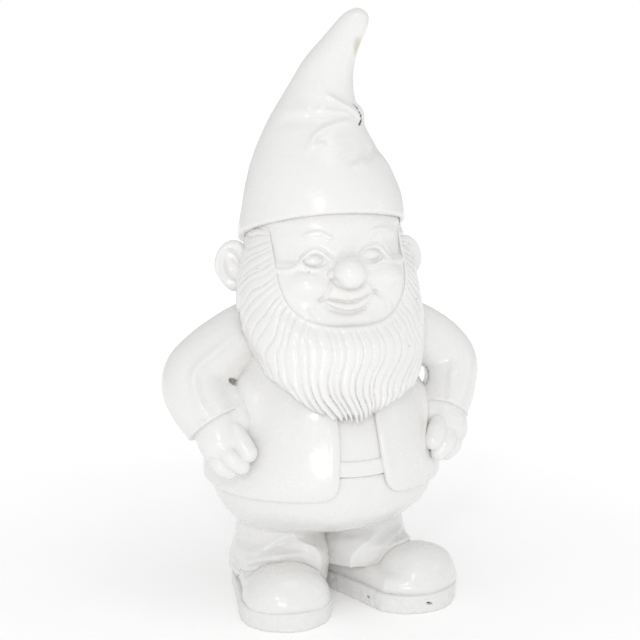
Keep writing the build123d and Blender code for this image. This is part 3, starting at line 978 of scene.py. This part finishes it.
def settle(field, v, step):
    """Moves vertices onto the exact surface, and gives the field's slope there."""
    h = 0.35 * step
    for _ in range(2):
        slope = np.empty_like(v)
        for k in range(3):
            shift = np.zeros(3)
            shift[k] = h
            slope[:, k] = (evaluate(field, v + shift) - evaluate(field, v - shift)) / (2 * h)
        size = np.maximum((slope**2).sum(1), 0.2)
        move = -(evaluate(field, v) / size)[:, None] * slope
        far = np.linalg.norm(move, axis=1)
        v = v + move * np.minimum(1, 0.45 * step / np.maximum(far, 1e-9))[:, None]
    return v, slope / np.sqrt(size)[:, None]


def sculpt(name, field, box, step, nodes, slot, material, fine=(None, None, None)):
    """Meshes a field inside box and puts it in the place of its CAD nodes."""
    step = step * COARSER
    low, high = box
    axes = [grid_axis(low[k], high[k], step, fine[k]) for k in range(3)]
    vertices, quads = surface(sample(field, axes))
    places = [np.interp(vertices[:, k], np.arange(len(axes[k])), axes[k]) for k in range(3)]
    vertices = np.column_stack(places)
    vertices, normal = settle(field, vertices, step)
    mesh = bpy.data.meshes.new(name)
    mesh.vertices.add(len(vertices))
    mesh.vertices.foreach_set("co", (vertices / MM).ravel())
    mesh.loops.add(quads.size)
    mesh.loops.foreach_set("vertex_index", quads.ravel())
    mesh.polygons.add(len(quads))
    mesh.polygons.foreach_set("loop_start", np.arange(0, quads.size, 4))
    mesh.update(calc_edges=True)
    mesh.polygons.foreach_set("use_smooth", np.ones(len(quads), bool))
    # How deep in a hollow each vertex lies, from the field a little way out
    open_air = evaluate(field, vertices + normal * 5.0) / 5.0
    hollow = np.clip(1.0 - open_air, 0, 1)
    mesh.attributes.new("hollow", "FLOAT", "POINT").data.foreach_set("value", hollow.astype(np.float32))
    mesh.validate()
    obj = bpy.data.objects.new(name, mesh)
    bpy.context.collection.objects.link(obj)
    obj.data.materials.append(material)
    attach(obj, "root")
    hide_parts(*nodes)
    print(name, len(vertices), "vertices", [round(float(x)) for x in (*vertices.min(0), *vertices.max(0))])
    return obj


def box_of(*nodes, grow=6.0):
    """The box round CAD nodes in mm, a little larger."""
    corners = [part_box(n) for n in nodes]
    low = [min(c[0][k] for c in corners) * MM - grow for k in range(3)]
    high = [max(c[1][k] for c in corners) * MM + grow for k in range(3)]
    return low, high


# ---------------------------------------------------------------- materials

WHITE = (0.815, 0.812, 0.802)
WARM_WHITE = (0.808, 0.805, 0.794)
AGED = (0.77, 0.76, 0.73)
# Brownish tone for the dirt and painted shade in creases and between parts
DIRT_AND_SHADE = (0.66, 0.62, 0.54)
PIT = (0.42, 0.39, 0.34)
STAIN = (0.52, 0.49, 0.32)
# How close walls have to be, in metres, for dirt and painted shade to gather between them
DIRT_AND_SHADE_REACH = 0.016


class Nodes:
    """A short way to build a node material."""

    def __init__(self, name):
        self.material = bpy.data.materials.new(name)
        self.material.use_nodes = True
        self.tree = self.material.node_tree
        self.shader = self.tree.nodes["Principled BSDF"]
        self.where = self.add("ShaderNodeTexCoord").outputs["Object"]

    def add(self, kind, **settings):
        node = self.tree.nodes.new(kind)
        for key, value in settings.items():
            setattr(node, key, value)
        return node

    def wire(self, source, target):
        self.tree.links.new(source, target)

    def noise(self, scale, detail=3.0, rough=0.55):
        node = self.add("ShaderNodeTexNoise")
        node.inputs["Scale"].default_value = scale
        node.inputs["Detail"].default_value = detail
        node.inputs["Roughness"].default_value = rough
        self.wire(self.where, node.inputs["Vector"])
        return node.outputs["Fac"]

    def dots(self, scale, size, share):
        """Small round spots on a random share of cells: 1 in a spot."""
        cells = self.add("ShaderNodeTexVoronoi")
        cells.inputs["Scale"].default_value = scale
        self.wire(self.where, cells.inputs["Vector"])
        spot = self.range(cells.outputs["Distance"], size * 0.6, size, 1, 0)
        chosen = self.add("ShaderNodeSeparateColor")
        self.wire(cells.outputs["Color"], chosen.inputs["Color"])
        pick = self.range(chosen.outputs["Red"], 1 - share, 1 - share + 0.01, 0, 1)
        return self.math("MULTIPLY", spot, pick)

    def put(self, value, socket):
        """Sets a socket to a number or a colour, or wires another node to it."""
        if isinstance(value, bpy.types.NodeSocket):
            self.wire(value, socket)
        else:
            socket.default_value = (*value, 1) if isinstance(value, tuple) else value

    def look(self, **values):
        """Sets inputs of the shader, an underscore standing for a space."""
        for name, value in values.items():
            self.put(value, self.shader.inputs[name.replace("_", " ")])

    def range(self, value, low, high, to_low, to_high):
        node = self.add("ShaderNodeMapRange")
        names = ("From Min", "From Max", "To Min", "To Max")
        for key, number in zip(names, (low, high, to_low, to_high)):
            node.inputs[key].default_value = number
        self.wire(value, node.inputs["Value"])
        return node.outputs["Result"]

    def math(self, operation, a, b):
        node = self.add("ShaderNodeMath", operation=operation)
        for socket, value in zip(node.inputs, (a, b)):
            self.put(value, socket)
        return node.outputs[0]

    def blend(self, amount, a, b):
        """From colour a to colour b."""
        node = self.add("ShaderNodeMix", data_type="RGBA")
        self.wire(amount, node.inputs["Factor"])
        for socket, value in zip((node.inputs[6], node.inputs[7]), (a, b)):
            self.put(value, socket)
        return node.outputs[2]

    def attribute(self, name):
        return self.add("ShaderNodeAttribute", attribute_name=name).outputs["Fac"]

    def bump(self, height, distance, below=None):
        node = self.add("ShaderNodeBump")
        node.inputs["Distance"].default_value = distance
        node.inputs["Strength"].default_value = 1.0
        self.wire(height, node.inputs["Height"])
        if below:
            self.wire(below, node.inputs["Normal"])
        return node.outputs["Normal"]


def paint(name, grit=0.0):
    """Thick white gloss paint, slightly uneven, with pinholes, and dirt and painted shade darkening the
    creases.
    """
    m = Nodes(name)
    tint = m.blend(m.range(m.noise(9, 4), 0.3, 0.75, 0, 1), WHITE, WARM_WHITE)
    tint = m.blend(m.range(m.noise(55, 6, 0.65), 0.4, 1.0, 0, 0.08), tint, AGED)
    # Creases, hollows and gaps between parts are darkened by ambient occlusion and by the hollow attribute:
    # partly dirt, partly painted shade
    shade = m.add("ShaderNodeAmbientOcclusion", samples=8)
    shade.inputs["Distance"].default_value = DIRT_AND_SHADE_REACH
    deep = m.range(shade.outputs["AO"], 0.1, 0.7, 1, 0)
    near = m.range(m.attribute("hollow"), 0.6, 1.0, 0, 1)
    dirt_and_shade = m.math("MAXIMUM", m.math("MULTIPLY", deep, 0.34), m.math("MULTIPLY", near, 0.2))
    dirt_and_shade = m.math("MULTIPLY", dirt_and_shade, m.range(m.noise(60, 4), 0.35, 0.65, 0.4, 1))
    tint = m.blend(dirt_and_shade, tint, DIRT_AND_SHADE)
    pits = m.dots(38, 0.032, 0.16)
    tint = m.blend(pits, tint, PIT)
    rough = m.range(m.noise(24, 4), 0.2, 0.8, 0.23 + grit * 0.3, 0.31 + grit * 0.3)
    relief = m.bump(m.noise(75, 2), 0.0006)
    relief = m.bump(m.noise(420, 3), 0.00012 + grit * 0.0006, relief)
    relief = m.bump(m.math("MULTIPLY", pits, -1.0), 0.0012, relief)
    m.look(Base_Color=tint, Roughness=rough, Normal=relief, Specular_IOR_Level=0.5)
    m.look(Coat_Weight=0.35 * (1 - grit), Coat_Roughness=0.09)
    return m


def stained(m, spot, size):
    """Adds a brownish stain round one place, in metres, to a paint."""
    apart = m.add("ShaderNodeVectorMath", operation="DISTANCE")
    m.wire(m.where, apart.inputs[0])
    apart.inputs[1].default_value = spot
    wander = m.math("ADD", apart.outputs["Value"], m.math("MULTIPLY", m.noise(90, 4), size))
    mark = m.range(wander, size * 0.9, size * 1.7, 0.7, 0)
    clean = m.shader.inputs["Base Color"].links[0].from_socket
    m.look(Base_Color=m.blend(mark, clean, STAIN))
    return m


def plain_part(name, light, dark, scale, rough, metal=0.0):
    """An unpainted part under the boots: two tones in a fine pattern."""
    m = Nodes(name)
    tint = m.blend(m.range(m.noise(scale, 5), 0.35, 0.65, 0, 1), light, dark)
    uneven = m.range(m.noise(scale * 2.3, 3), 0.3, 0.7, rough - 0.08, rough + 0.08)
    m.look(Base_Color=tint, Roughness=uneven, Metallic=metal, Normal=m.bump(m.noise(scale * 1.7, 4), 0.0004))
    return m


def dress_cad(nodes, made):
    for node in nodes:
        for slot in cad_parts[node].material_slots:
            slot.material = made.material


# ---------------------------------------------------------------- the figure

PAINT = "white_gloss_paint"
SOLE_PAINT = "sole_paint"
white = paint(PAINT).material
hat_white = stained(paint("hat_paint"), (0.047, -0.012, 0.748), 0.013).material
sole_white = paint(SOLE_PAINT, grit=0.6).material


def form(node, field, step, box=None, grow=6.0, slot=PAINT, material=white, **more):
    """Sculpts what is seen of one CAD node, in a grid round its solid or in a box of its own."""
    sculpt(f"{node}_form", field, box or box_of(node, grow=grow), step, [node], slot, material, **more)


def beside(side, near, far, y, z):
    """A box on one side of the figure: how near the middle and how far out, its depth and its height."""
    x = sorted((side * near, side * far))
    return [x[0], y[0], z[0]], [x[1], y[1], z[1]]


form("hat", hat, 1.9, material=hat_white)
form("head", head, 1.25, ([-118, -160, 390], [118, 84, 580]), fine=(None, (-62, 3), None))
form("hair_and_beard", hair, 1.5, ([-135, -160, 256], [135, 96, 520]))
form("torso", shirt, 3.0)
form("jacket_back", jacket_back, 2.2)
form("waistband", waistband, 1.1, ([-30, -150, 192], [46, -120, 224]))
form("trousers", trousers, 2.4)
for name, side in SIDES.items():
    form(f"jacket_front_{name}", lambda p: jacket_front(p, side), 1.8, grow=8)
    form(f"ear_{name}", lambda p: ear(p, side), 1.1, beside(side, 92, 160, (-40, 44), (414, 504)))
    form(f"sleeve_{name}", lambda p: sleeve(p, side), 1.9, beside(side, 60, 240, (-115, 62), (205, 430)))
    form(f"hand_{name}", lambda p: hand(p, side), 1.3, beside(side, 105, 205, (-125, -20), (185, 290)))
    form(f"boot_{name}", lambda p: boot(p, name), 1.6, grow=10)
    form(f"sole_{name}", lambda p: sole(p, name), 1.5, slot=SOLE_PAINT, material=sole_white)
    form(f"trouser_leg_{name}", lambda p: leg(p, name), 1.6, grow=18)

glass_fibre = plain_part("base_plate", (0.50, 0.49, 0.46), (0.38, 0.37, 0.35), 160, 0.6)
mortar = plain_part("ballast", (0.48, 0.46, 0.43), (0.34, 0.33, 0.31), 220, 0.85)
steel = plain_part("screws", (0.62, 0.62, 0.63), (0.5, 0.5, 0.51), 400, 0.35, 1.0)
rubber = plain_part("pads", (0.05, 0.05, 0.05), (0.03, 0.03, 0.03), 300, 0.75)
dress_cad(["base_plate_right", "base_plate_left"], glass_fibre)
dress_cad(["ballast_right", "ballast_left"], mortar)
dress_cad(["base_screws"], steel)
dress_cad(["foot_pads"], rubber)


# ---------------------------------------------------------------- floor, light and camera


FLOOR_HALF = 30.0


def stage_floor():
    mesh = bpy.data.meshes.new("floor")
    corners = [(-1, -1), (1, -1), (1, 1), (-1, 1)]
    mesh.from_pydata([(FLOOR_HALF * x, FLOOR_HALF * y, 0) for x, y in corners], [], [(0, 1, 2, 3)])
    floor = bpy.data.objects.new("floor", mesh)
    bpy.context.collection.objects.link(floor)
    m = Nodes("floor")
    cloud = m.blend(m.range(m.noise(3, 2), 0.3, 0.7, 0, 1), (0.93, 0.93, 0.93), (0.91, 0.91, 0.91))
    away = m.add("ShaderNodeVectorMath", operation="LENGTH")
    m.wire(m.where, away.inputs[0])
    away = away.outputs["Value"]
    # The floor's colour lightens away from the feet: painted light, together with the glow below
    m.look(Base_Color=m.blend(m.range(away, 0.4, 2.0, 0, 1), cloud, (0.99, 0.99, 0.99)))
    # The floor glows a little, more so further from the feet: painted light that lifts the shade round the
    # feet and fades the floor into the white backdrop
    m.look(Emission_Color=(1, 1, 1), Emission_Strength=m.range(away, 0.1, 1.5, 0.16, 0.34))
    m.look(Roughness=0.9, Specular_IOR_Level=0.1)
    mesh.materials.append(m.material)


def area_light(name, place, target, size, watts):
    light = bpy.data.lights.new(name, "AREA")
    light.shape = "DISK"
    light.size = size
    light.energy = watts
    obj = bpy.data.objects.new(name, light)
    bpy.context.collection.objects.link(obj)
    obj.location = place
    obj.rotation_euler = (Vector(target) - Vector(place)).to_track_quat("-Z", "Y").to_euler()


CAMERA_AWAY = 1.65
CAMERA_HEIGHT = 0.64
CAMERA_AIM = 0.38
SENSOR_MM = 36.0
LENS_MM = 68.34375
CAMERA_SHIFT = -0.003125


def camera():
    """Level with the middle of the hat, to the gnome's right, looking a little down."""
    data = bpy.data.cameras.new("camera")
    obj = bpy.data.objects.new("camera", data)
    bpy.context.collection.objects.link(obj)
    turn = radians(SIGHT)
    obj.location = (-CAMERA_AWAY * sin(turn), -CAMERA_AWAY * cos(turn), CAMERA_HEIGHT)
    aim = Vector((0, 0, CAMERA_AIM)) - obj.location
    obj.rotation_euler = aim.to_track_quat("-Z", "Y").to_euler()
    data.sensor_width = SENSOR_MM
    data.lens = LENS_MM
    data.shift_x = CAMERA_SHIFT
    bpy.context.scene.camera = obj


def white_room():
    """A white backdrop, and for all light a room that is bright before the gnome and greyer behind it."""
    world = bpy.data.worlds.new("white_room")
    bpy.context.scene.world = world
    world.use_nodes = True
    tree = world.node_tree
    add, wire = tree.nodes.new, tree.links.new
    # How far each direction points away from the camera, 0 to 1
    depth = add("ShaderNodeVectorMath")
    depth.operation = "DOT_PRODUCT"
    depth.inputs[1].default_value = (sin(radians(SIGHT)), cos(radians(SIGHT)), 0)
    wire(add("ShaderNodeTexCoord").outputs["Generated"], depth.inputs[0])
    share = add("ShaderNodeMapRange")
    share.inputs["From Min"].default_value = -1.0
    wire(depth.outputs["Value"], share.inputs["Value"])
    walls = add("ShaderNodeValToRGB")
    wire(share.outputs["Result"], walls.inputs["Fac"])
    stops = walls.color_ramp.elements
    stops[0].color = (*[0.88] * 3, 1)
    stops[-1].color = (*[0.66] * 3, 1)
    for at, grey in ((0.25, 0.83), (0.5, 0.74)):
        stops.new(at).color = (grey, grey, grey, 1)
    # The camera itself sees plain white
    seen = add("ShaderNodeMix")
    seen.data_type = "RGBA"
    wire(add("ShaderNodeLightPath").outputs["Is Camera Ray"], seen.inputs[0])
    wire(walls.outputs["Color"], seen.inputs[6])
    seen.inputs[7].default_value = (1, 1, 1, 1)
    wire(seen.outputs[2], tree.nodes["Background"].inputs["Color"])
    tree.nodes["Background"].inputs["Strength"].default_value = 1.0


stage_floor()
area_light("key", (-0.75, -1.75, 1.2), (0, -0.05, 0.42), 0.24, 3.4)
area_light("top", (0.2, -0.7, 2.4), (0, 0, 0.3), 0.9, 2.4)
area_light("right_fill", (1.9, -0.8, 0.9), (0, 0, 0.4), 0.6, 0.6)
area_light("low_fill", (-0.62, -1.9, 0.3), (0.02, 0, 0.08), 0.4, 2.6)
camera()
white_room()
bpy.context.scene.view_settings.view_transform = "Standard"
